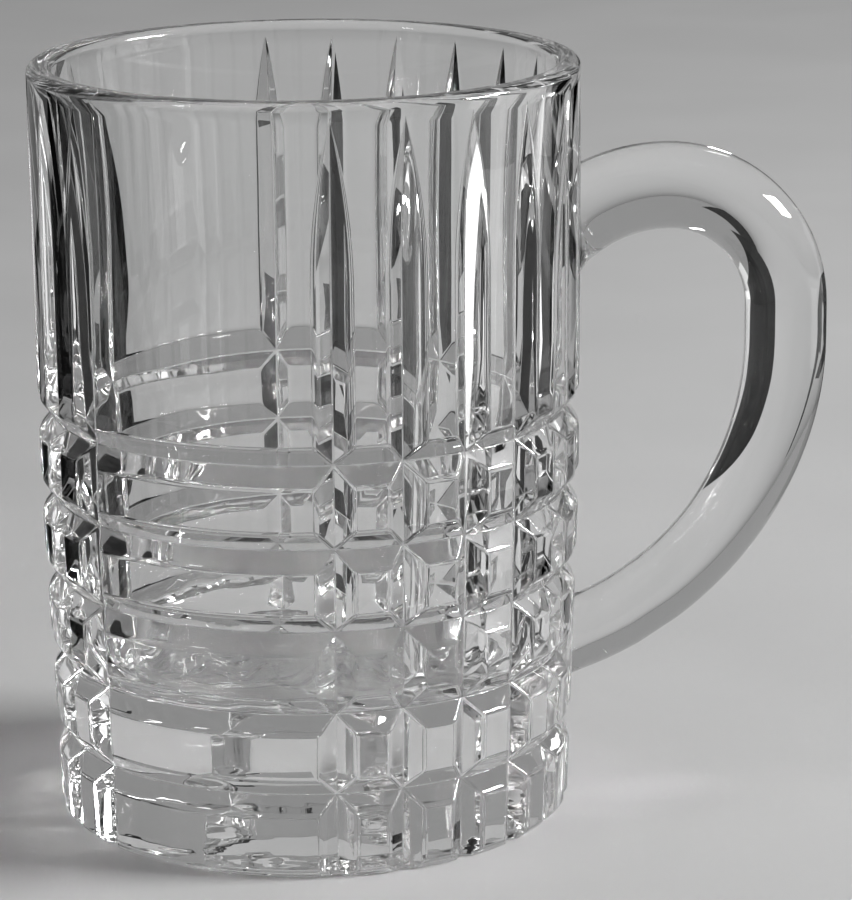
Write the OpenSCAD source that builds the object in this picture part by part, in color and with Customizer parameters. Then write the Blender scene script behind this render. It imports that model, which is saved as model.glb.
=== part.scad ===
// Cut-glass beer mug: a heavy, slightly tapered tankard with mitre-cut flutes
// and rings on its outside, a smooth well inside, and a loop handle that is
// drawn as a separate bar of glass and fused to the wall at both ends.
// Millimetres. +Z is up, Z = 0 is the resting face, the body's axis is the
// Z axis, and the handle points along +X.

/* [Body] */
// Height from the resting face to the rim
body_h = 130; // [127:1:133]
// Outer radius just under the rim
rim_r = 46.6; // [46.3:0.1:47.2]
// Outer radius at the fourth ring, where the taper changes
waist_r = 46.15; // [45.8:0.05:46.3]
// Outer radius at the resting face
base_r = 44.1; // [43.6:0.1:45]
// Wall thickness at the rim
rim_wall = 4.2; // [3.9:0.1:4.6]
// Rounding of both edges of the rim
rim_round = 1.6; // [1:0.1:1.9]
// Height above which the inside opens out towards the rim
lip_z = 85; // [75:1:100]
// Inner radius at that height
mid_r = 39; // [37.6:0.1:39.6]
// Inner radius where the wall runs into the floor's rounding
well_r = 36.5; // [35.6:0.1:37.5]
// Thickness of the solid base
floor_t = 25; // [20:1:30]
// Rounding between the floor and the inner wall
floor_round = 8; // [5:1:10]
// Bevel around the resting face
foot_bevel = 1.2; // [0.6:0.1:2]

/* [Cut pattern] */
// Depth of every mitre cut below the uncut surface
cut_d = 2.5; // [1.6:0.1:2.6]
// Half width of a mitre cut at the uncut surface
cut_w = 3.2; // [2.6:0.1:3.4]
// Height step from ring to ring
ring_step = 14.08; // [13.8:0.02:14.4]
// Angle from the middle of the handle to the first flute on each side of it
first_a = 15.9; // [15:0.1:16]
// Angle from flute to flute beside the handle
flute_step = 15.2; // [14.8:0.1:15.4]
// Angle from flute to flute opposite the handle
far_step = 14.85; // [14.6:0.05:15.4]
// Flutes on each side of the handle
side_n = 6; // [4:1:6]
// Flutes on each side of the middle flute opposite the handle
far_n = 2; // [1:1:2]
// Drop from the rim to the flutes' pointed tips
tip_drop = 3; // [2.6:0.1:6]
// Radius of the cutting wheel that runs the tips out
wheel_r = 150; // [120:5:180]

/* [Handle] */
// Thickness of the bar, measured in the plane of the loop
bar_t = 14.2; // [13.4:0.1:15]
// Width of the bar across the loop
bar_w = 14; // [13.8:0.1:14.4]
// Rounding of the bar, which leaves only narrow flats
bar_round = 6.6; // [5:0.1:6.6]
// Radius of the upper bend, at the bar's centre
bend_r = 21.5; // [20.5:0.5:23]
// Distance of the upper bend's centre from the body's axis
bend_x = 61.9; // [61:0.1:62.4]
// Height of the upper bend's centre
bend_z = 84.6; // [83:0.1:86]
// Radius of the run from the upper bend down to the upper root, at the bar's centre
root_r = 28; // [27:0.5:31]
// Straight length between the bend and the lower sweep
grip_l = 6; // [4:0.5:8]
// Radius of the lower sweep, at the bar's centre
sweep_r = 54.6; // [53:0.1:56]
// Thickness of the flattened pad at each root
pad_t = 1.2; // [0.8:0.1:1.6]

/* [Hidden] */
$fn = 96;

ring_n = 5;                      // rings cut around the lower part
waist_z = 4 * ring_step;         // height of the fourth ring
foot_ring = 2;                   // the ring that stops at the handle's foot
root_a = 65;                     // angle of the run to the upper root, its end trimmed by the wall
sweep_a = 82;                    // angle of the lower sweep, its end trimmed by the wall
over = 2;                        // how far a cutter stands out of the glass
cut_h = cut_d + over;            // full height of a cutter's V
cut_s = cut_w / cut_d;           // slope of a cutter's V
run_l = sqrt(2 * wheel_r * cut_d - cut_d * cut_d); // length of a tip's run-out
tip_z = body_h - tip_drop;
run_z = tip_z - run_l;           // above this height a flute gets shallower
rim_in = rim_r - rim_wall;
lip_n = 10;                      // steps of the inside's curve up to the rim

// Radius of the uncut outer surface at height z
function land(z) = z < waist_z
    ? base_r + (waist_r - base_r) * z / waist_z
    : waist_r + (rim_r - waist_r) * (z - waist_z) / (body_h - rim_round - waist_z);

// Inner radius at the share t of the height between lip_z and the rim
function lip(t) = mid_r + (rim_in - mid_r) * t * t;

// Half outline of the outside, grown outwards by g
module outside_half(g = 0) {
    polygon([
        [0, 0], [base_r + g, 0], [waist_r + g, waist_z],
        [rim_r + g, body_h - rim_round], [rim_r + g - rim_round, body_h], [0, body_h]
    ]);
}

// Half outline of the whole body before cutting
module body_half() {
    difference() {
        union() {
            polygon([
                [0, 0], [land(0) - foot_bevel, 0], [land(foot_bevel), foot_bevel],
                [waist_r, waist_z], [rim_r, body_h - rim_round],
                [rim_r - rim_round, body_h], [0, body_h]
            ]);
            translate([rim_r - rim_round, body_h - rim_round]) circle(rim_round);
        }
        // the well, with a rounded corner at the floor
        polygon([
            [0, floor_t], [well_r - floor_round, floor_t], [well_r, floor_t + floor_round],
            for (i = [0 : lip_n]) [lip(i / lip_n), lip_z + (body_h - rim_round - lip_z) * i / lip_n],
            [rim_in, body_h + over], [0, body_h + over]
        ]);
        intersection() {
            translate([well_r - floor_round, floor_t + floor_round]) circle(floor_round);
            square([well_r + floor_round, body_h]);
        }
        // the inner edge of the rim
        difference() {
            translate([rim_in - over, body_h - rim_round]) square([over + rim_round, rim_round + over]);
            translate([rim_in + rim_round, body_h - rim_round]) circle(rim_round);
            translate([rim_in + rim_round, body_h - 2 * rim_round]) square([rim_round, 2 * rim_round]);
        }
    }
}

// V outline of the cutter: its edge at the origin, opening towards +X
module vee() {
    polygon([[0, 0], [cut_h, cut_h * cut_s], [cut_h, -cut_h * cut_s]]);
}

// Straight mitre cut from (r0, z0) up to (r1, z1), with the V's edge on that line;
// e0 and e1 lengthen it at its lower and upper end
module bar_cut(r0, z0, r1, z1, e0 = 0, e1 = 0) {
    translate([r0, 0, z0]) rotate([0, atan2(r1 - r0, z1 - z0), 0])
        translate([0, 0, -e0])
            linear_extrude(height = norm([r1 - r0, z1 - z0]) + e0 + e1) vee();
}

// One flute: two straight lengths that follow the taper, and the wheel's run-out to a point.
// The upper length and the run-out share one frame, so that they meet in one plane.
module flute() {
    rb = land(0) - cut_d;
    rw = land(waist_z) - cut_d;
    rr = land(run_z) - cut_d;
    bar_cut(rb, 0, rw, waist_z, 3, 2);
    l = norm([rr - rw, run_z - waist_z]) + 2;
    turn = asin(1.3 * run_l / wheel_r);
    translate([rr, 0, run_z]) rotate([0, atan2(rr - rw, run_z - waist_z), 0]) {
        translate([0, 0, -l]) linear_extrude(height = l) vee();
        translate([wheel_r, 0, 0]) rotate([-90, 0, 0]) rotate([0, 0, 180])
            rotate_extrude(angle = turn, $fn = 240)
                polygon([[wheel_r, 0], [wheel_r - cut_h, cut_h * cut_s], [wheel_r - cut_h, -cut_h * cut_s]]);
    }
}

// One ring cut, stopping gap degrees short of the handle on each side; a ring that stops
// in the middle of two flutes is a hair shallower, so that its ends are open to them
module ring(k, gap = 0) {
    z = k * ring_step;
    lift = gap > 0 ? 0.06 : 0;
    rotate([0, 0, gap]) rotate_extrude(angle = 360 - 2 * gap, $fn = 180)
        translate([land(z) - cut_d + lift, z]) vee();
}

// Outline of the bar: nearly round, with a narrow flat on each of its four sides
module bar_outline(t, w, r) {
    square([t - 2 * r, w], center = true);
    square([t, w - 2 * r], center = true);
    for (x = [-1, 1], y = [-1, 1])
        translate([x * (t / 2 - r), y * (w / 2 - r)]) circle(r);
}

// Bent length of bar around the centre (cx, cz): it starts at angle a0, a multiple of 90,
// and turns over angle a1 in the loop's plane, upwards or (down) downwards
module bend(cx, cz, r, a0, a1, down = false) {
    translate([cx, 0, cz]) rotate([down ? -90 : 90, 0, 0]) rotate([0, 0, a0])
        rotate_extrude(angle = a1, $fn = 180)
            translate([r, 0]) bar_outline(bar_t, bar_w, bar_round);
}

// Flattened pad between heights z0 and z1 on the wall
module pad(z0, z1) {
    intersection() {
        translate([land(z0) - 8, 0, (z0 + z1) / 2]) rotate([0, 90, 0])
            linear_extrude(height = 16) bar_outline(z1 - z0, bar_w + 0.6, bar_round);
        rotate_extrude($fn = 180) outside_half(pad_t);
    }
}

module mug_body() color([0.86, 0.89, 0.9, 0.4]) {
    difference() {
        rotate_extrude($fn = 180) body_half();
        for (s = [-1, 1], k = [1 : side_n]) rotate([0, 0, s * (first_a + (k - 1) * flute_step)]) flute();
        for (k = [-far_n : far_n]) rotate([0, 0, 180 + k * far_step]) flute();
        for (k = [1 : ring_n]) ring(k, k == foot_ring ? first_a : 0);
    }
}

module handle() color([0.84, 0.88, 0.9, 0.4]) {
    grip_x = bend_x + bend_r;
    sweep_x = grip_x - sweep_r;
    sweep_z = bend_z - grip_l;
    run_c = bend_z + bend_r - root_r;
    // angles at which the bar's centre meets the wall, and its heights there
    top_a = asin((bend_x - land(bend_z + bend_r)) / root_r);
    low_a = acos((land(sweep_z - sweep_r) - sweep_x) / sweep_r);
    top_c = run_c + root_r * cos(top_a);
    low_c = sweep_z - sweep_r * sin(low_a);
    // half the bar's height there
    top_h = bar_t / 2 / cos(top_a);
    low_h = bar_t / 2 / sin(low_a);
    difference() {
        union() {
            bend(bend_x, run_c, root_r, 90, root_a);
            bend(bend_x, bend_z, bend_r, 0, 90);
            translate([grip_x, 0, sweep_z])
                linear_extrude(height = grip_l) bar_outline(bar_t, bar_w, bar_round);
            bend(sweep_x, sweep_z, sweep_r, 0, sweep_a, true);
            pad(top_c - top_h - 0.6, top_c + top_h + 0.2);
            pad(low_c - low_h, low_c + low_h + 1);
        }
        rotate_extrude($fn = 180) outside_half();
    }
}

mug_body();
handle();
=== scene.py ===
import math

import bpy
import numpy as np
from mathutils import Euler, Matrix, Vector
from mathutils.geometry import delaunay_2d_cdt


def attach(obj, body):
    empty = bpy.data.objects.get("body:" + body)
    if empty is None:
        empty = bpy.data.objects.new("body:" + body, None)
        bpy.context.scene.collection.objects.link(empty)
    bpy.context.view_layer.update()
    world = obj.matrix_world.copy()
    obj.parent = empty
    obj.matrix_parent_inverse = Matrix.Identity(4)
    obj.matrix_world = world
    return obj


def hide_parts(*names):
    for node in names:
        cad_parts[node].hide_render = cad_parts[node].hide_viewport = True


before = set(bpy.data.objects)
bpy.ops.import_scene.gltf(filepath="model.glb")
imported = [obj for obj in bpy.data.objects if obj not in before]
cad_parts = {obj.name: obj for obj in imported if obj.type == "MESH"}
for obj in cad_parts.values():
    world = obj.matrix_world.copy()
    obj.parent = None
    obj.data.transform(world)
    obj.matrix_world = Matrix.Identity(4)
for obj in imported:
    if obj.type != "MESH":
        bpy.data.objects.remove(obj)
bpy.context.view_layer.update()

# --------------------------------------------------------------------------
# Sizes in millimetres, as in the construction
# --------------------------------------------------------------------------
MM = 0.001
BODY_H, RIM_R, WAIST_R, BASE_R = 130.0, 46.6, 46.15, 44.1
RIM_WALL, RIM_ROUND = 4.2, 1.6
LIP_Z, MID_R = 85.0, 39.0
WELL_R, FLOOR_T, FLOOR_ROUND = 36.5, 25.0, 8.0
FOOT = 1.2
CUT_D, CUT_W = 2.5, 3.2
RING_STEP, RING_N, FOOT_RING = 14.08, 5, 2
FIRST_A, FLUTE_STEP, FAR_STEP, SIDE_N, FAR_N = 15.9, 15.2, 14.85, 6, 2
TIP_Z, WHEEL_R = 127.0, 150.0
BAR_T, BAR_W = 14.2, 14.0
BEND_R, BEND_X, BEND_Z = 21.5, 61.9, 84.6
ROOT_R, GRIP_L, SWEEP_R = 28.0, 6.0, 54.6

WAIST_Z = 4 * RING_STEP
RUN_L = math.sqrt(2 * WHEEL_R * CUT_D - CUT_D * CUT_D)
RUN_Z = TIP_Z - RUN_L
SLOPE = CUT_D / CUT_W
ALPHA = math.atan(SLOPE)
EDGE = 0.2             # half width of the polished ridges, as a share of a cut's half width
VALLEY = 0.06          # the same for the bottom of a cut
WALL_RUN = BODY_H - FLOOR_T - FLOOR_ROUND      # way down the inside to the floor's rounding
SWIRL = 0.085          # height of the swirls on the inner floor


def land(z):
    """Radius of the uncut outside."""
    z = np.asarray(z, float)
    low = BASE_R + (WAIST_R - BASE_R) * z / WAIST_Z
    high = WAIST_R + (RIM_R - WAIST_R) * (z - WAIST_Z) / (BODY_H - RIM_ROUND - WAIST_Z)
    return np.where(z < WAIST_Z, low, high)


def flute_depth(z):
    """Depth of a flute: full up to RUN_Z, then the wheel's arc up to the tip."""
    t = np.clip(np.asarray(z, float) - RUN_Z, 0, None)
    return CUT_D - (WHEEL_R - np.sqrt(np.clip(WHEEL_R**2 - t**2, 0, None)))


def spread_depth(z):
    """The depth that sets how far apart a flute's columns stand: never nought, so that no faces collapse."""
    z = np.asarray(z, float)
    d = np.maximum(flute_depth(z), 0.1)
    return np.where(z > TIP_Z, 0.1 + (z - TIP_Z) / (BODY_H - TIP_Z) * 1.4, d)


def eased(t):
    t = np.clip(t, 0, 1)
    return t * t * (3 - 2 * t)


def smax(a, b, k):
    h = np.clip(1 - np.abs(a - b) / k, 0, None)
    return np.maximum(a, b) + k / 4 * h * h


def valley(rise, k):
    return np.where(rise < k, (rise * rise + k * k) / (2 * k), rise)


FLUTES = sorted(
    [(s * (FIRST_A + k * FLUTE_STEP)) % 360 for s in (-1, 1) for k in range(SIDE_N)]
    + [180 + k * FAR_STEP for k in range(-FAR_N, FAR_N + 1)]
)
FLUTES_RAD = np.radians(FLUTES)


def outer_radius(phi, z):
    """The cut outside as a height field over angle and height."""
    phi, z = np.broadcast_arrays(np.asarray(phi, float), np.asarray(z, float))
    ld, dep, spread = land(z), flute_depth(z), spread_depth(z)
    k = np.minimum(spread, CUT_D)
    gap = (phi[..., None] - FLUTES_RAD + math.pi) % (2 * math.pi) - math.pi
    delta = np.min(np.abs(gap), axis=-1)
    under = np.cos(delta) - SLOPE * np.sin(delta)
    rise = np.where(under > 0.3, (ld - dep) / np.maximum(under, 0.3) - (ld - dep), 9.0)
    h_flute = dep - valley(rise, VALLEY * k)
    h_ring = np.full(z.shape, -9.0)
    from_handle = np.abs((phi + math.pi) % (2 * math.pi) - math.pi)
    for n in range(1, RING_N + 1):
        h = CUT_D - valley(np.abs(z - n * RING_STEP) * SLOPE, VALLEY * CUT_D)
        if n == FOOT_RING:
            h = np.where(from_handle < math.radians(FIRST_A), -9.0, h)
        h_ring = np.maximum(h_ring, h)
    depth = smax(smax(h_flute, h_ring, EDGE * CUT_D), 0 * z, EDGE * k)
    r = ld - depth
    bevel = BASE_R - FOOT + np.clip(z, 0, None) * (float(land(FOOT)) - BASE_R + FOOT) / FOOT
    bevel = np.where(z < 2 * FOOT, bevel, 99.0)
    return -smax(-r, -bevel, 0.3)


def outer_point(phi, z):
    r = outer_radius(phi, z)
    return np.stack([r * np.cos(phi), r * np.sin(phi), np.broadcast_to(z, r.shape)], -1)


def outer_normal(phi, z):
    e = 2e-6
    a = outer_point(phi + e, z) - outer_point(phi - e, z)
    e = 1e-4
    b = outer_point(phi, z + e) - outer_point(phi, z - e)
    n = np.cross(a, b)
    return n / np.linalg.norm(n, axis=-1, keepdims=True)


def flute_angle(u, z):
    """Angle from a flute's middle at which its side has risen by the share u of its depth."""
    d, ld = np.minimum(spread_depth(z), CUT_D), land(z)
    a = math.sqrt(1 + SLOPE * SLOPE)

    def at(v):
        return np.arccos((ld - d) / (a * (ld - d + v * d))) - ALPHA

    m = np.abs(u)
    inside = at(np.minimum(m, 1.0))
    return np.sign(u) * (inside + np.clip(m - 1, 0, None) * d / SLOPE / ld)


# --------------------------------------------------------------------------
# The body: one closed mesh with true normals
# --------------------------------------------------------------------------
U_HALF = [VALLEY, 0.45, 1 - EDGE, 1 - EDGE / 2, 1, 1 + EDGE / 2, 1 + EDGE]
U_LINES = [-u for u in reversed(U_HALF)] + [0] + U_HALF
NU = len(U_LINES)


def ripple(phi, run):
    """Faint unevenness of the smooth inside, in millimetres: upright drawing marks on the wall, and
    swirls where the glass chilled on the floor. run is the way down from the rim and in to the axis."""
    marks = (
        0.5 * np.sin(23 * phi + 0.4)
        + 0.8 * np.sin(41 * phi + 1.7)
        + 0.7 * np.sin(67 * phi + 0.9 - 0.01 * run)
        + 0.5 * np.sin(97 * phi + 2.3 + 0.012 * run)
    )
    swirl = (
        1.0 * np.sin(5 * phi + 0.55 * run + 1.3 * np.sin(3 * phi + 0.11 * run))
        + 0.8 * np.sin(11 * phi - 0.38 * run + 1.1 * np.sin(4 * phi - 0.2 * run + 1.0))
        + 0.5 * np.sin(17 * phi + 0.9 * run + 0.7)
        + 0.3 * np.sin(29 * phi - 1.25 * run + 2.1)
    )
    low = eased((run - (WALL_RUN - 14.0)) / 14.0)
    middle = eased((WALL_RUN + 38.0 - run) / 20.0)
    return 0.0012 * marks * (1 - low) + SWIRL * swirl * low * middle


def columns():
    """One function of height per column: the flutes' own lines, and evenly spread ones on the land between them."""
    made, starts = [], []

    def in_flute(k, u):
        return lambda z: math.radians(FLUTES[k]) + flute_angle(u, z)

    def between(a, b, t):
        return lambda z: a(z) * (1 - t) + b(z) * t

    n = len(FLUTES)
    for k in range(n):
        starts.append(len(made))
        made += [in_flute(k, u) for u in U_LINES]
        here = in_flute(k, U_LINES[-1])
        turn = 2 * math.pi if k == n - 1 else 0.0
        nxt = in_flute((k + 1) % n, U_LINES[0])
        after = lambda z, f=nxt, t=turn: f(z) + t
        gap = math.degrees(float(after(50.0) - here(50.0)))
        count = max(2, round(gap / 1.9) - 1)
        made += [between(here, after, (i + 1) / (count + 1)) for i in range(count)]
    return made, starts


def body():
    cols, starts = columns()
    nc = len(cols)
    ring_rows = {}
    zs = [0.0, 0.3, 0.7, 1.0, 1.3, 1.7, 2.4, 4.5, 7.5]
    for n in range(1, RING_N + 1):
        ring_rows[n] = len(zs)
        zs += [n * RING_STEP + u * CUT_W for u in U_LINES]
        if n < RING_N:
            top = zs[-1]
            nxt = (n + 1) * RING_STEP + U_LINES[0] * CUT_W
            zs += [top + (nxt - top) * t for t in (0.33, 0.67)]
    top = zs[-1]
    zs += list(np.linspace(top, RUN_Z, 7)[1:])
    zs += list(np.linspace(RUN_Z, 122, 12)[1:])
    zs += [123.2, 124.3, 125.2, 125.9, 126.4, 126.8, 127.1, 127.6, 128.2, BODY_H - RIM_ROUND]
    zs = np.array(zs)
    nr = len(zs)
    phi = np.array([np.broadcast_to(c(zs), zs.shape) for c in cols])      # nc x nr
    zz = np.broadcast_to(zs, phi.shape)
    points, normals = outer_point(phi, zz), outer_normal(phi, zz)
    verts, norms = [points.reshape(-1, 3)], [normals.reshape(-1, 3)]
    grid = np.arange(nc * nr).reshape(nc, nr)
    total = nc * nr
    faces = []

    # where a flute crosses a ring, a patch with the eight rays of the cut star takes the grid's place
    crossing = np.zeros((nc, nr), bool)
    for s in starts:
        for r in ring_rows.values():
            crossing[s : s + NU - 1, r : r + NU - 1] = True
    for i in range(nc):
        j = (i + 1) % nc
        for r in range(nr - 1):
            if not crossing[i, r]:
                faces.append((grid[i, r], grid[j, r], grid[j, r + 1], grid[i, r + 1]))

    lim = 1 + EDGE
    pts, edges = [], []

    def point(u, v):
        for q, p in enumerate(pts):
            if abs(p[0] - u) < 1e-9 and abs(p[1] - v) < 1e-9:
                return q
        pts.append((u, v))
        return len(pts) - 1

    def line(a, b):
        edges.append((point(*a), point(*b)))

    for u in U_LINES:
        for v in (-lim, lim):
            point(u, v), point(v, u)
    for i in range(NU - 1):
        for v in (-lim, lim):
            line((U_LINES[i], v), (U_LINES[i + 1], v))
            line((v, U_LINES[i]), (v, U_LINES[i + 1]))
    for u in U_LINES[1:-1]:
        if abs(u) != 0.45:
            line((u, -lim), (u, lim)), line((-lim, u), (lim, u))
    for s in (-1, 1):
        for off in (-EDGE, -EDGE / 2, 0, EDGE / 2, EDGE):
            a, b = -1.0, 1.0
            line((a, s * a + off if abs(s * a + off) <= lim else s * lim), (b, s * b + off if abs(s * b + off) <= lim else s * lim))
    cdt = delaunay_2d_cdt([Vector(p) for p in pts], edges, [], 0, 1e-7)
    flat = np.array([[p.x, p.y] for p in cdt[0]])
    tris = [f if (flat[f[1]] - flat[f[0]])[0] * (flat[f[2]] - flat[f[0]])[1] - (flat[f[1]] - flat[f[0]])[1] * (flat[f[2]] - flat[f[0]])[0] > 0 else [f[0], f[2], f[1]] for f in cdt[2]]
    on_edge = (np.abs(np.abs(flat) - lim) < 1e-6).any(1)
    for k, s in enumerate(starts):
        for n, r in ring_rows.items():
            index = np.zeros(len(flat), int)
            new = []
            for q, (u, v) in enumerate(flat):
                if on_edge[q]:
                    c = s + int(np.argmin(np.abs(np.array(U_LINES) - u)))
                    w = r + int(np.argmin(np.abs(np.array(U_LINES) - v)))
                    index[q] = grid[c, w]
                else:
                    index[q] = total + len(new)
                    new.append(q)
            u, v = flat[new, 0], flat[new, 1]
            z = n * RING_STEP + v * CUT_W
            p = FLUTES_RAD[k] + flute_angle(u, z)
            verts.append(outer_point(p, z))
            norms.append(outer_normal(p, z))
            total += len(new)
            faces += [tuple(index[q] for q in f) for f in tris]

    # rim, well and floor: rows of a turned outline, on the rim's own angles
    outline = []
    cx, cz = RIM_R - RIM_ROUND, BODY_H - RIM_ROUND
    for a in np.radians(np.linspace(0, 90, 9))[1:]:
        outline.append((cx + RIM_ROUND * math.cos(a), cz + RIM_ROUND * math.sin(a), math.cos(a), math.sin(a)))
    cx = RIM_R - RIM_WALL + RIM_ROUND
    for a in np.radians(np.linspace(90, 180, 9)):
        outline.append((cx + RIM_ROUND * math.cos(a), cz + RIM_ROUND * math.sin(a), math.cos(a), math.sin(a)))
    rim_in, well_z = RIM_R - RIM_WALL, FLOOR_T + FLOOR_ROUND
    for t in np.linspace(1, 0, 17)[1:]:          # the lip, opening out towards the rim
        lean = math.atan2(2 * (rim_in - MID_R) * t, cz - LIP_Z)
        outline.append((MID_R + (rim_in - MID_R) * t * t, LIP_Z + (cz - LIP_Z) * t, -math.cos(lean), math.sin(lean)))
    lean = math.atan2(MID_R - WELL_R, LIP_Z - well_z)
    for t in np.linspace(0, 1, 9)[1:]:
        outline.append((MID_R + (WELL_R - MID_R) * t, LIP_Z + (well_z - LIP_Z) * t, -math.cos(lean), math.sin(lean)))
    cx = WELL_R - FLOOR_ROUND
    for a in np.radians(np.linspace(0, -90, 17))[1:]:
        outline.append((cx + FLOOR_ROUND * math.cos(a), well_z + FLOOR_ROUND * math.sin(a), -math.cos(a), -math.sin(a)))
    for r in np.linspace(cx, 0, 23)[1:-1]:
        outline.append((r, FLOOR_T, 0.0, 1.0))
    ang = phi[:, -1]

    def turned(rows, first):
        nonlocal total
        last, run, before = first, 0.0, None
        for r, z, nr_, nz in rows:
            here = np.arange(total, total + nc)
            total += nc
            inside = nr_ < -0.9 or before is not None
            if before is not None:
                run += math.hypot(r - before[0], z - before[1])
            if inside:
                before = (r, z)
            lift = ripple(ang, run) if inside else 0 * ang
            around = (ripple(ang + 1e-4, run) - ripple(ang - 1e-4, run)) / 2e-4 / r if inside else 0 * ang
            down = (ripple(ang, run + 1e-3) - ripple(ang, run - 1e-3)) / 2e-3 if inside else 0 * ang
            radial = np.stack([np.cos(ang), np.sin(ang), 0 * ang], -1)
            tangent = np.stack([-np.sin(ang), np.cos(ang), 0 * ang], -1)
            up = np.array([0, 0, 1.0])
            out = nr_ * radial + nz * up
            verts.append(r * radial + z * up + lift[:, None] * out)
            nn = out - around[:, None] * tangent - down[:, None] * (nr_ * up - nz * radial)
            norms.append(nn / np.linalg.norm(nn, axis=1, keepdims=True))
            for i in range(nc):
                j = (i + 1) % nc
                faces.append((last[i], last[j], here[j], here[i]))
            last = here
        return last

    def close(last, z, nz):
        nonlocal total
        verts.append(np.array([[0.0, 0.0, z]])), norms.append(np.array([[0.0, 0.0, nz]]))
        for i in range(nc):
            faces.append((last[i], last[(i + 1) % nc], total))
        total += 1

    close(turned(outline, grid[:, -1]), FLOOR_T, 1.0)

    # resting face: flat from a hair inside its edge, which the notches of the cuts shape
    edge_r = np.linalg.norm(points[:, 0, :2], axis=1)
    last, ang0 = grid[:, 0], phi[:, 0]
    norms[0].reshape(nc, nr, 3)[:, 0] += np.array([0, 0, -1.0])
    norms[0] /= np.linalg.norm(norms[0], axis=1, keepdims=True)
    for r in (None, 39.5, 30.0, 20.0, 10.0, 3.0):
        rr = edge_r - 0.3 if r is None else np.full(nc, r)
        here = np.arange(total, total + nc)
        total += nc
        verts.append(np.stack([rr * np.cos(ang0), rr * np.sin(ang0), 0 * ang0], -1))
        norms.append(np.tile([0.0, 0.0, -1.0], (nc, 1)))
        for i in range(nc):
            j = (i + 1) % nc
            faces.append((last[j], last[i], here[i], here[j]))
        last = here
    close(last[::-1], 0.0, -1.0)
    return np.vstack(verts), np.vstack(norms), faces


# --------------------------------------------------------------------------
# The handle: a bar swept along the loop, its ends pressed onto the wall
# --------------------------------------------------------------------------
GRIP_X = BEND_X + BEND_R
SWEEP_X, SWEEP_Z = GRIP_X - SWEEP_R, BEND_Z - GRIP_L
RUN_C = BEND_Z + BEND_R - ROOT_R
THICK, THIN = 1.05, 0.89       # the drawn bar thins from its upper to its lower root
SINK = 0.25            # how far the fused ends reach into the wall, so that no air shows between


def bar_section(n=72):
    """Outline of the bar: a toward the outside of the loop, b across it. Nearly round, as drawn."""
    out = []
    for q in range(n):
        t = 2 * math.pi * q / n
        c, s = math.cos(t), math.sin(t)
        p = 2.15
        r = (abs(c) ** p + abs(s) ** p) ** (-1 / p)
        out.append((BAR_T / 2 * r * c, BAR_W / 2 * r * s))
    return np.array(out)


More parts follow.
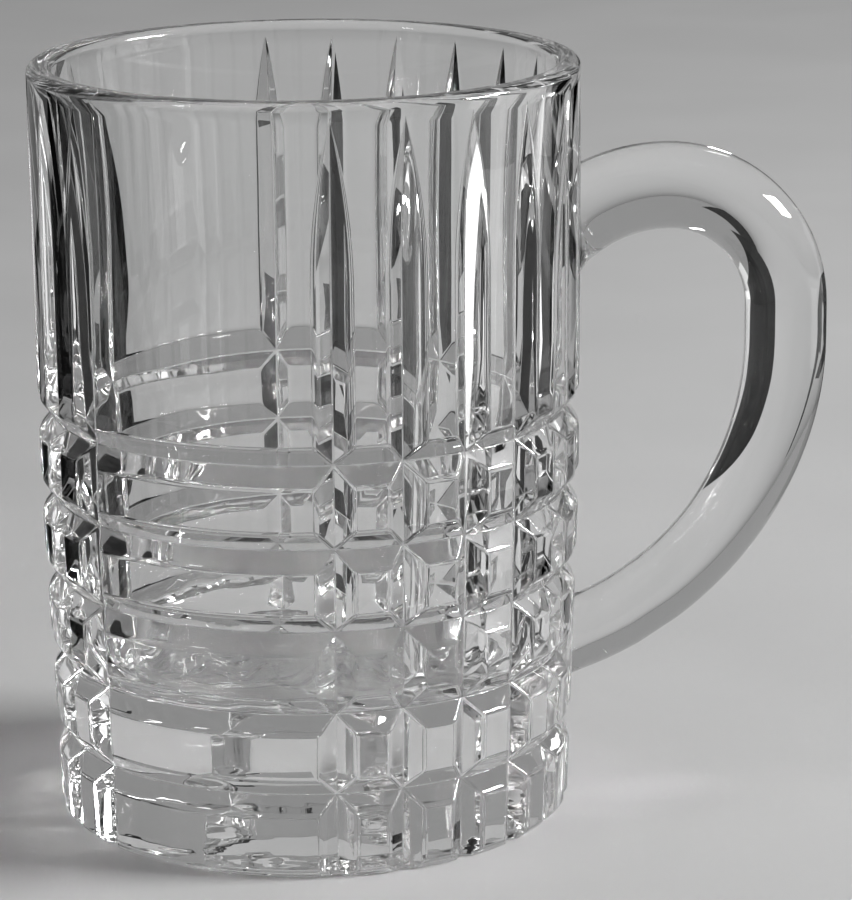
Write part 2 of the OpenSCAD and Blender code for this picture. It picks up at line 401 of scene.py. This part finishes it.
def handle():
    sec = bar_section()
    ns = len(sec)
    a, b = sec[:, 0], sec[:, 1]

    def on_top(t):          # t: angle past the top of the upper bend, towards the wall
        r = ROOT_R + a * THICK
        return np.stack([BEND_X - r * np.sin(t), b * THICK, RUN_C + r * np.cos(t)], -1)

    def on_sweep(t):
        f = 1 + (THIN - 1) * eased(t / 0.95)
        r = SWEEP_R + a * f
        return np.stack([SWEEP_X + r * np.cos(t), b * f, SWEEP_Z - r * np.sin(t)], -1)

    def end_angle(f, lo, hi):
        lo, hi = np.full(ns, lo), np.full(ns, hi)
        for _ in range(50):
            mid = (lo + hi) / 2
            p = f(mid)
            out = np.hypot(p[:, 0], p[:, 1]) > land(p[:, 2]) - SINK
            lo, hi = np.where(out, mid, lo), np.where(out, hi, mid)
        return (lo + hi) / 2

    def flare(p, strength):
        """The pressed-out foot of the bar: it swells within the last two millimetres of the wall."""
        away = np.hypot(p[:, 0], p[:, 1]) - land(p[:, 2])
        t = np.clip(1 - away / 2.2, 0, 1) ** 2
        return t * strength

    rings = []
    top_end = end_angle(on_top, 0.0, 1.1)
    low_end = end_angle(on_sweep, 0.3, 1.5)
    ease = [0.0, 0.012, 0.03, 0.055, 0.09, 0.13, 0.19, 0.27, 0.36, 0.46, 0.57, 0.68, 0.79, 0.9]
    inner = np.clip(-a / (BAR_T / 2), 0, 1)
    for e in ease:
        p = on_top(top_end * (1 - e))
        f = flare(p, 0.25 + 0.65 * inner)
        c = on_top(top_end * (1 - e) * 0 + top_end.mean() * (1 - e)).mean(0)
        d = p - c
        d[:, 0] *= 0.25
        rings.append(p + d / np.maximum(np.linalg.norm(d, axis=1, keepdims=True), 1e-9) * f[:, None])
    for t in np.linspace(0, math.pi / 2, 22):
        ang = math.pi / 2 - t
        f = 1 + (THICK - 1) * eased(ang / (math.pi / 2))
        r = BEND_R + a * f
        rings.append(np.stack([BEND_X + r * math.cos(ang), b * f, BEND_Z + r * math.sin(ang)], -1))
    for z in np.linspace(BEND_Z, SWEEP_Z, 4)[1:-1]:
        rings.append(np.stack([GRIP_X + a, b, np.full(ns, z)], -1))
    for e in np.linspace(0, 1, 34)[:-9]:
        rings.append(on_sweep(low_end * e))
    last = np.linspace(0, 1, 34)[-10]
    for e in reversed(ease[:-5]):
        q = 1 - e / 0.46 * (1 - last) * 0.8
        p = on_sweep(low_end * q)
        f = flare(p, 0.25 + 0.55 * inner)
        c = on_sweep(np.full(ns, low_end.mean() * q)).mean(0)
        d = p - c
        d[:, 0] *= 0.25
        rings.append(p + d / np.maximum(np.linalg.norm(d, axis=1, keepdims=True), 1e-9) * f[:, None])
    verts = [np.array(r) for r in rings]
    nrg = len(rings)
    faces = []
    for i in range(nrg - 1):
        for q in range(ns):
            w = (q + 1) % ns
            faces.append((i * ns + q, i * ns + w, (i + 1) * ns + w, (i + 1) * ns + q))
    total = nrg * ns

    def cap(ring, first, flip):
        nonlocal total
        centre = ring.mean(0)
        last = np.arange(first, first + ns)
        for share in (0.93, 0.75, 0.5, 0.25):
            p = centre + (ring - centre) * share
            p[:, 0] = np.sqrt((land(p[:, 2]) - SINK) ** 2 - p[:, 1] ** 2)
            verts.append(p)
            here = np.arange(total, total + ns)
            total += ns
            for q in range(ns):
                w = (q + 1) % ns
                face = (last[q], last[w], here[w], here[q])
                faces.append(face[::-1] if flip else face)
            last = here
        p = centre.copy()
        p[0] = math.sqrt((float(land(p[2])) - SINK) ** 2 - p[1] ** 2)
        verts.append(p[None])
        for q in range(ns):
            face = (last[q], last[(q + 1) % ns], total)
            faces.append(face[::-1] if flip else face)
        total += 1

    cap(rings[0], 0, True)
    cap(rings[-1], (nrg - 1) * ns, False)
    return np.vstack(verts), [f[::-1] for f in faces]


def mesh_object(name, verts, faces, normals=None):
    mesh = bpy.data.meshes.new(name)
    mesh.from_pydata((verts * MM).tolist(), [], [tuple(int(x) for x in f) for f in faces])
    mesh.validate()
    mesh.polygons.foreach_set("use_smooth", np.ones(len(mesh.polygons), bool))
    if normals is not None:
        mesh.normals_split_custom_set_from_vertices(normals.tolist())
    mesh.update()
    ob = bpy.data.objects.new(name, mesh)
    bpy.context.scene.collection.objects.link(ob)
    return ob


# --------------------------------------------------------------------------
# Glass
# --------------------------------------------------------------------------
def node(nt, kind, **inputs):
    n = nt.nodes.new(kind)
    for key, value in inputs.items():
        n.inputs[key.replace("_", " ")].default_value = value
    return n


def spread(nt, source, low, high, out_low, out_high):
    """Maps the share low..high of a pattern onto out_low..out_high."""
    m = nt.nodes.new("ShaderNodeMapRange")
    m.inputs["From Min"].default_value, m.inputs["From Max"].default_value = low, high
    m.inputs["To Min"].default_value, m.inputs["To Max"].default_value = out_low, out_high
    nt.links.new(source, m.inputs["Value"])
    return m.outputs["Result"]


def glass(name, tint, deep, stretch, wave, calm=1.0):
    """Clear polished glass: a faint uneven tint, a breath of haze in the polish, slight waves in the
    surface. From the base up to the top of the ring cuts the waves sink to the share calm."""
    mat = bpy.data.materials.new(name)
    mat.use_nodes = True
    nt = mat.node_tree
    nt.nodes.clear()
    out = nt.nodes.new("ShaderNodeOutputMaterial")
    bsdf = nt.nodes.new("ShaderNodeBsdfPrincipled")
    nt.links.new(bsdf.outputs["BSDF"], out.inputs["Surface"])
    bsdf.inputs["Transmission Weight"].default_value = 1.0
    bsdf.inputs["IOR"].default_value = 1.53
    coord = nt.nodes.new("ShaderNodeTexCoord")
    place = nt.nodes.new("ShaderNodeMapping")
    place.inputs["Scale"].default_value = stretch
    nt.links.new(coord.outputs["Object"], place.inputs["Vector"])
    cloud = node(nt, "ShaderNodeTexNoise", Scale=45.0, Detail=3.0)
    nt.links.new(place.outputs["Vector"], cloud.inputs["Vector"])
    ramp = nt.nodes.new("ShaderNodeValToRGB")
    ramp.color_ramp.elements[0].position, ramp.color_ramp.elements[1].position = 0.35, 0.65
    ramp.color_ramp.elements[0].color, ramp.color_ramp.elements[1].color = (*deep, 1), (*tint, 1)
    nt.links.new(cloud.outputs["Fac"], ramp.inputs["Fac"])
    nt.links.new(ramp.outputs["Color"], bsdf.inputs["Base Color"])
    haze = node(nt, "ShaderNodeTexNoise", Scale=120.0, Detail=5.0)
    nt.links.new(place.outputs["Vector"], haze.inputs["Vector"])
    nt.links.new(spread(nt, haze.outputs["Fac"], 0.5, 0.75, 0.0, 0.02), bsdf.inputs["Roughness"])
    swell = node(nt, "ShaderNodeTexNoise", Scale=70.0, Detail=2.0)
    nt.links.new(place.outputs["Vector"], swell.inputs["Vector"])
    bump = node(nt, "ShaderNodeBump", Strength=1.0, Distance=wave)
    split = nt.nodes.new("ShaderNodeSeparateXYZ")
    nt.links.new(coord.outputs["Object"], split.inputs["Vector"])
    size = nt.nodes.new("ShaderNodeMath")
    size.operation = "MULTIPLY"
    nt.links.new(swell.outputs["Fac"], size.inputs[0])
    nt.links.new(spread(nt, split.outputs["Z"], 0.02, 0.08, 1.0, calm), size.inputs[1])
    nt.links.new(size.outputs["Value"], bump.inputs["Height"])
    nt.links.new(bump.outputs["Normal"], bsdf.inputs["Normal"])
    return mat


clear = glass("clear_cut_glass", (0.99, 0.99, 0.99), (0.965, 0.97, 0.968), (1.0, 1.0, 0.4), 0.00012, 0.15)
drawn = glass("drawn_handle_glass", (0.99, 0.99, 0.99), (0.965, 0.97, 0.968), (1.0, 1.6, 0.6), 0.00001)

bv, bn, bf = body()
mug = mesh_object("cut_glass_body", bv, bf, bn)
mug.data.materials.append(clear)
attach(mug, "root")
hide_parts("mug_body")

hv, hf = handle()
loop = mesh_object("loop_handle", hv, hf)
loop.data.materials.append(drawn)
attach(loop, "root")
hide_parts("handle")

# --------------------------------------------------------------------------
# Stage, light and camera
# --------------------------------------------------------------------------
HEADING = math.radians(81.613)       # the way the camera looks, in the part's frame


def plain(name, dark, pale, rough, scale, shine=0.1):
    """Dull stage surface with a faint cloudy grain."""
    mat = bpy.data.materials.new(name)
    mat.use_nodes = True
    nt = mat.node_tree
    bsdf = nt.nodes["Principled BSDF"]
    coord = nt.nodes.new("ShaderNodeTexCoord")
    cloud = node(nt, "ShaderNodeTexNoise", Scale=scale, Detail=6.0)
    nt.links.new(coord.outputs["Object"], cloud.inputs["Vector"])
    ramp = nt.nodes.new("ShaderNodeValToRGB")
    ramp.color_ramp.elements[0].position, ramp.color_ramp.elements[1].position = 0.3, 0.7
    ramp.color_ramp.elements[0].color, ramp.color_ramp.elements[1].color = (dark, dark, dark, 1), (pale, pale, pale, 1)
    nt.links.new(cloud.outputs["Fac"], ramp.inputs["Fac"])
    nt.links.new(ramp.outputs["Color"], bsdf.inputs["Base Color"])
    nt.links.new(spread(nt, cloud.outputs["Fac"], 0.3, 0.7, rough, rough + 0.1), bsdf.inputs["Roughness"])
    bsdf.inputs["Specular IOR Level"].default_value = shine
    return mat


def strip(name, low, high, mat):
    """Sheet between two lists of points, linked into the scene."""
    n = len(low)
    mesh = bpy.data.meshes.new(name)
    mesh.from_pydata(low + high, [], [(i, i + 1, n + i + 1, n + i) for i in range(n - 1)])
    mesh.materials.append(mat)
    ob = bpy.data.objects.new(name, mesh)
    bpy.context.scene.collection.objects.link(ob)
    return ob


S = 3.0
floor = strip("floor", [(-S, -S, -0.0002), (S, -S, -0.0002)], [(-S, S, -0.0002), (S, S, -0.0002)], plain("pale_floor", 0.54, 0.57, 0.5, 14.0))


def at(right, deep, height=0.0):
    """Stage place in metres: to the right of the mug's axis and behind it, as the camera looks."""
    c, d = math.cos(HEADING), math.sin(HEADING)
    return (right * d + deep * c, deep * d - right * c, height)


# painted shade: near-black and dark grey materials for sheets that show only in the glass
black_glass_shade = plain("painted_shade_black", 0.003, 0.006, 0.8, 60.0, 0.0)
grey_glass_shade = plain("painted_shade_grey", 0.045, 0.06, 0.8, 60.0, 0.0)


def shade_in_glass(name, low, high, mat=black_glass_shade):
    """Painted shade: a dark sheet seen only in the glass's reflections and refractions, standing in for the unlit
    surroundings of the pale floor.
    """
    ob = strip(name, [at(*p) for p in low], [at(*p) for p in high], mat)
    ob.visible_camera = ob.visible_diffuse = ob.visible_shadow = False
    return ob


# painted shade: just outside the picture on both sides of the pale floor, dark sheets seen only in the glass stand in
# for the unlit surroundings
LEFT = [(-0.126, -0.12), (-0.115, 0.0), (-0.1, 0.1), (-0.088, 0.2), (-0.1, 0.25)]
LEFT_FAR = [(-0.1, 0.25), (-0.112, 0.3), (-0.13, 0.38), (-0.16, 0.52), (-0.262, 1.0)]
RIGHT = [(0.132, 0.04), (0.137, 0.1), (0.146, 0.2), (0.163, 0.3), (0.2, 0.44)]
RIGHT_FRONT = [(0.15, 0.04), (0.193, 0.062), (0.25, 0.115), (0.38, 0.2), (0.5, 0.3)]
shade_in_glass("painted_shade_left", [(r, d, 0.0002) for r, d in LEFT], [(-0.36, d, 0.0002) for r, d in LEFT])
shade_in_glass("painted_shade_left_far", [(r, d, 0.0002) for r, d in LEFT_FAR], [(r - 0.045, d, 0.0002) for r, d in LEFT_FAR])
shade_in_glass("painted_shade_left_gap", [(-0.145, 0.25, 0.0002), (-0.155, 0.29, 0.0002), (-0.163, 0.325, 0.0002)], [(-0.165, 0.25, 0.0002), (-0.176, 0.29, 0.0002), (-0.2, 0.325, 0.0002)], grey_glass_shade)
shade_in_glass("painted_shade_left_side", [(-0.225, 0.25, 0.0002), (-0.225, 0.45, 0.0002)], [(-0.36, 0.25, 0.0002), (-0.36, 0.45, 0.0002)])
shade_in_glass("painted_shade_board_left", [(-0.6, -0.4), (-0.36, -0.12), (-0.36, 0.25)], [(-0.6, -0.4, 0.13), (-0.36, -0.12, 0.13), (-0.36, 0.25, 0.1)])
shade_in_glass("painted_shade_right", [(r, d, 0.0002) for r, d in RIGHT], [(r, d, 0.0002) for r, d in RIGHT_FRONT])
shade_in_glass("painted_shade_board_right", [(0.2, 0.44), (0.5, 0.3)], [(0.2, 0.44, 0.15), (0.5, 0.3, 0.1)])
shade_in_glass("painted_shade_board_right_far", [(0.33, 2.0), (0.9, 1.95)], [(0.33, 2.0, 0.2), (0.9, 1.95, 0.2)])


def area(name, turn, away, height, size, power, aim=0.06):
    """Soft box at an angle from the way the camera looks, left positive, aimed at the mug."""
    data = bpy.data.lights.new(name, "AREA")
    data.shape = "RECTANGLE"
    data.size, data.size_y = size
    data.energy = power
    ob = bpy.data.objects.new(name, data)
    bpy.context.scene.collection.objects.link(ob)
    t = HEADING + math.radians(turn)
    ob.location = (away * math.cos(t), away * math.sin(t), height)
    ob.rotation_euler = (Vector((0, 0, aim)) - ob.location).to_track_quat("-Z", "Y").to_euler()
    return ob


area("card", -60.0, 0.6, 0.11, (0.21, 0.2), 0.07, 0.11)
area("low_card", -97.0, 0.33, 0.03, (0.1, 0.06), 0.019, 0.05)
area("key", -95.0, 1.5, 0.76, (0.62, 0.3), 35.5)
area("back_strip", -28.0, 1.5, 1.15, (0.1, 0.35), 0.6)
area("window", 125.0, 1.2, 1.0, (0.15, 0.15), 1.2)

world = bpy.data.worlds.new("studio")
bpy.context.scene.world = world
world.use_nodes = True
wt = world.node_tree
way = wt.nodes.new("ShaderNodeTexCoord")
split = wt.nodes.new("ShaderNodeSeparateXYZ")
wt.links.new(way.outputs["Generated"], split.inputs["Vector"])
wt.links.new(spread(wt, split.outputs["Y"], -1.0, 1.0, 0.25, 0.265), wt.nodes["Background"].inputs["Color"])

cam_data = bpy.data.cameras.new("camera")
cam = bpy.data.objects.new("camera", cam_data)
bpy.context.scene.collection.objects.link(cam)
cam_data.sensor_fit = "AUTO"
cam_data.sensor_width = 36.0
cam_data.lens = 165.45
cam_data.clip_start, cam_data.clip_end = 0.01, 20.0
cam.location = (-0.080810, -0.684809, 0.236730)
heading = HEADING
pitch = math.radians(14.237)
look = Vector((math.cos(heading) * math.cos(pitch), math.sin(heading) * math.cos(pitch), -math.sin(pitch)))
turn = look.to_track_quat("-Z", "Y").to_matrix() @ Matrix.Rotation(math.radians(-0.533), 3, "Z")
cam.rotation_euler = turn.to_euler()
bpy.context.scene.camera = cam

scene = bpy.context.scene
scene.view_settings.view_transform = "Standard"
scene.cycles.max_bounces = 24
scene.cycles.transmission_bounces = 24
scene.cycles.glossy_bounces = 8
scene.cycles.sample_clamp_indirect = 40.0
scene.cycles.blur_glossy = 0.0
scene.cycles.use_denoising = True

bpy.context.view_layer.update()
